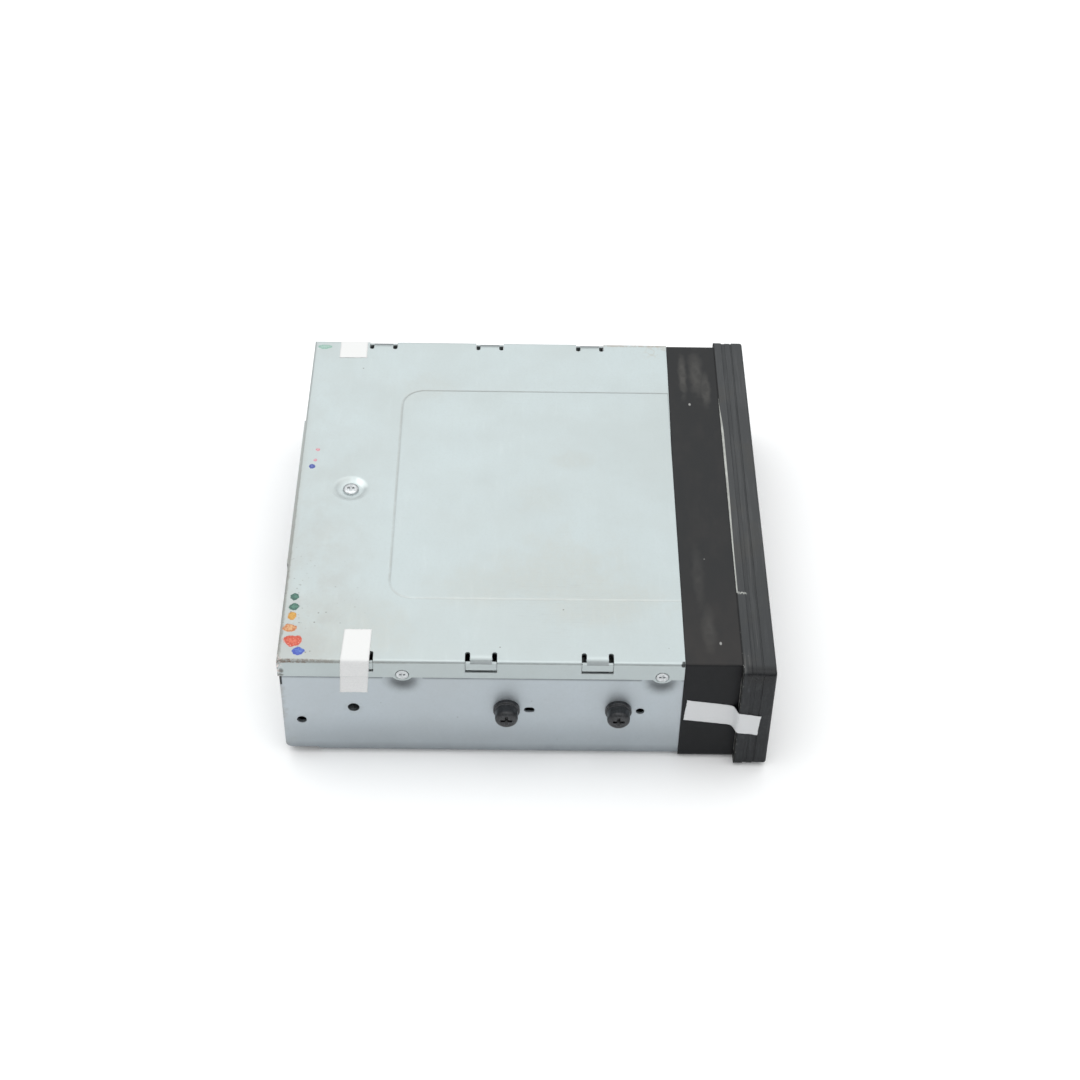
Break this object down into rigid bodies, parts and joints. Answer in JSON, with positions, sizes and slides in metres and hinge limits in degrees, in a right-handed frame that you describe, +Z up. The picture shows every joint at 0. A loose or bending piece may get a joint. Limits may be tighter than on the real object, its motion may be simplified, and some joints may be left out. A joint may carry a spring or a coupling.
{
  "type": "car navigation dvd drive",
  "caption": "Flat sheet-steel slot-loading disc drive for a car, with a screwed cover, tapped sides, a black collar and a front bezel with a drop-down door over the slot.",
  "frame": {"origin": "on the plane that the drive rests on, under the middle of its bounding box", "axes": "+X to the right seen from the front, -Y towards the front bezel, +Z up"},
  "size_m": [0.1882, 0.1764, 0.0501],
  "materials": {
    "zinc_sheet": "satin zinc plating with a light blue-green passivation",
    "zinc_sheet_lower": "satin zinc plating",
    "zinc_sheet_inner": "zinc plated, satin",
    "steel_bright": "bright ground steel",
    "steel_screw": "bright zinc plating",
    "black_screw": "black zinc, satin",
    "black_plastic": "fine matte texture",
    "black_plastic_collar": "smooth satin, faintly scuffed",
    "black_gloss": "satin gloss",
    "clear_lens": "clear moulding",
    "felt_black": "felt",
    "circuit_green": "solder mask",
    "chip_black": "moulded epoxy",
    "can_aluminium": "bright can",
    "socket_white": "natural nylon",
    "socket_black": "moulded nylon",
    "socket_grey": "moulded nylon",
    "gold_contact": "gold-plated contacts",
    "gear_white": "acetal",
    "gear_brass": "machined brass",
    "motor_can": "drawn can",
    "rubber_black": "soft moulded rubber",
    "roller_rubber": "ground rubber",
    "disc_seat": "moulded acetal",
    "pickup_body": "die cast",
    "lens_glass": "coated lens",
    "ribbon": "flat cable film",
    "paper": "white paper tape, matte"
  },
  "bodies": {
    "case": {"chassis": "zinc_sheet_lower", "top_cover": "zinc_sheet", "rear_panel": "zinc_sheet_lower", "power_socket": "socket_white", "power_socket_pins": "gold_contact", "display_socket": "socket_black", "antenna_jack": "socket_grey", "rear_panel_screws": "steel_screw", "front_collar": "black_plastic_collar", "bezel": "black_plastic", "slot_panel": "black_plastic", "slot_felts": "felt_black", "status_lens": "clear_lens", "front_board_parts": "chip_black", "front_board": "circuit_green", "main_board": "circuit_green", "main_board_chips": "chip_black", "board_capacitors": "can_aluminium", "cable_socket": "socket_white", "board_standoffs": "gear_brass", "board_screws": "steel_screw", "cover_bracket": "zinc_sheet_inner", "cover_top_screw": "steel_screw", "cover_side_screws": "steel_screw", "mounting_screws": "black_screw", "bottom_screws": "steel_screw", "loader_frame": "zinc_sheet_inner", "upper_disc_guide": "black_plastic", "pivot_pins": "steel_bright", "loading_motor": "motor_can", "motor_bracket": "zinc_sheet_inner", "motor_bracket_screws": "steel_screw", "roller_springs": "steel_bright", "rubber_dampers": "rubber_black", "deck_springs": "steel_bright", "ribbon_cable": "ribbon", "paper_tape": "paper"},
    "door": {"front_door": "black_gloss"},
    "eject": {"eject_button": "socket_grey"},
    "deck": {"deck_plate": "zinc_sheet_inner", "deck_socket": "socket_white", "guide_rods": "steel_bright", "spindle_motor": "motor_can", "sled_motor": "motor_can", "clamp_pin": "steel_bright", "clamp_spring": "steel_bright"},
    "spindle": {"turntable": "disc_seat"},
    "sled": {"pickup_sled": "pickup_body", "sled_nut": "gear_white"},
    "lens": {"pickup_lens": "lens_glass"},
    "lead_screw_body": {"lead_screw": "steel_bright"},
    "clamp": {"clamp_arm": "zinc_sheet_inner"},
    "clamper": {"disc_clamper": "black_plastic"},
    "roller_unit": {"roller_arm": "zinc_sheet_inner"},
    "roller": {"loading_roller": "roller_rubber", "roller_shaft": "steel_bright", "roller_gear": "gear_white"},
    "idler": {"idler_gear": "gear_white"},
    "reduction": {"reduction_gear": "gear_white"},
    "pinion": {"motor_pinion": "gear_brass"}
  },
  "joints": [
    {"name": "door_hinge", "type": "hinge", "parent": "case", "child": "door", "pos_m": [0, -0.08675, 0.012], "axis": [1, 0, 0], "range_deg": [0, 90]},
    {"name": "eject_push", "type": "slide", "parent": "case", "child": "eject", "axis": [0, 1, 0], "range_m": [0, 0.0008], "stiffness_N_per_m": 400, "springref_m": -0.0005},
    {"name": "deck_float", "type": "slide", "parent": "case", "child": "deck", "axis": [0, 0, -1], "range_m": [-0.0012, 0.0012], "stiffness_N_per_m": 3000, "springref_m": -0.00062, "deforming": ["deck_springs", "rubber_dampers", "ribbon_cable"]},
    {"name": "turntable_spin", "type": "hinge", "parent": "deck", "child": "spindle", "pos_m": [0, 0.00015, 0.02], "axis": [0, 0, 1], "continuous": true},
    {"name": "clamp_arm_swing", "type": "hinge", "parent": "deck", "child": "clamp", "pos_m": [0, 0.06815, 0.034], "axis": [-1, 0, 0], "range_deg": [-6.2, 0]},
    {"name": "clamper_spin", "type": "hinge", "parent": "clamp", "child": "clamper", "pos_m": [0, 0.00055, 0.04134], "axis": [0, 0.108, 0.9942], "continuous": true},
    {"name": "sled_slide", "type": "slide", "parent": "deck", "child": "sled", "axis": [0, 1, 0], "range_m": [0, 0.034]},
    {"name": "lead_screw_turn", "type": "hinge", "parent": "deck", "child": "lead_screw_body", "pos_m": [0.035, 0.03615, 0.0185], "axis": [0, 1, 0], "continuous": true},
    {"name": "lens_focus", "type": "slide", "parent": "sled", "child": "lens", "axis": [0, 0, 1], "range_m": [-0.0004, 0.0004], "stiffness_N_per_m": 30},
    {"name": "roller_arm_swing", "type": "hinge", "parent": "case", "child": "roller_unit", "pos_m": [0, -0.04285, 0.022], "axis": [1, 0, 0], "range_deg": [-19, 0]},
    {"name": "roller_spin", "type": "hinge", "parent": "roller_unit", "child": "roller", "pos_m": [0, -0.05485, 0.0246], "axis": [1, 0, 0], "continuous": true},
    {"name": "idler_spin", "type": "hinge", "parent": "case", "child": "idler", "pos_m": [-0.0745, -0.03027, 0.03415], "axis": [1, 0, 0], "continuous": true},
    {"name": "reduction_spin", "type": "hinge", "parent": "case", "child": "reduction", "pos_m": [-0.073, -0.04549, 0.03281], "axis": [1, 0, 0], "continuous": true},
    {"name": "pinion_spin", "type": "hinge", "parent": "case", "child": "pinion", "pos_m": [-0.0745, -0.02152, 0.03338], "axis": [1, 0, 0], "continuous": true}
  ],
  "couplings": [
    {"joint": "lead_screw_turn", "follows": "sled_slide", "rad_per_m": 2094.4},
    {"joint": "idler_spin", "follows": "roller_spin", "ratio": 2.88},
    {"joint": "reduction_spin", "follows": "roller_spin", "ratio": -2},
    {"joint": "pinion_spin", "follows": "roller_spin", "ratio": -7.2}
  ]
}
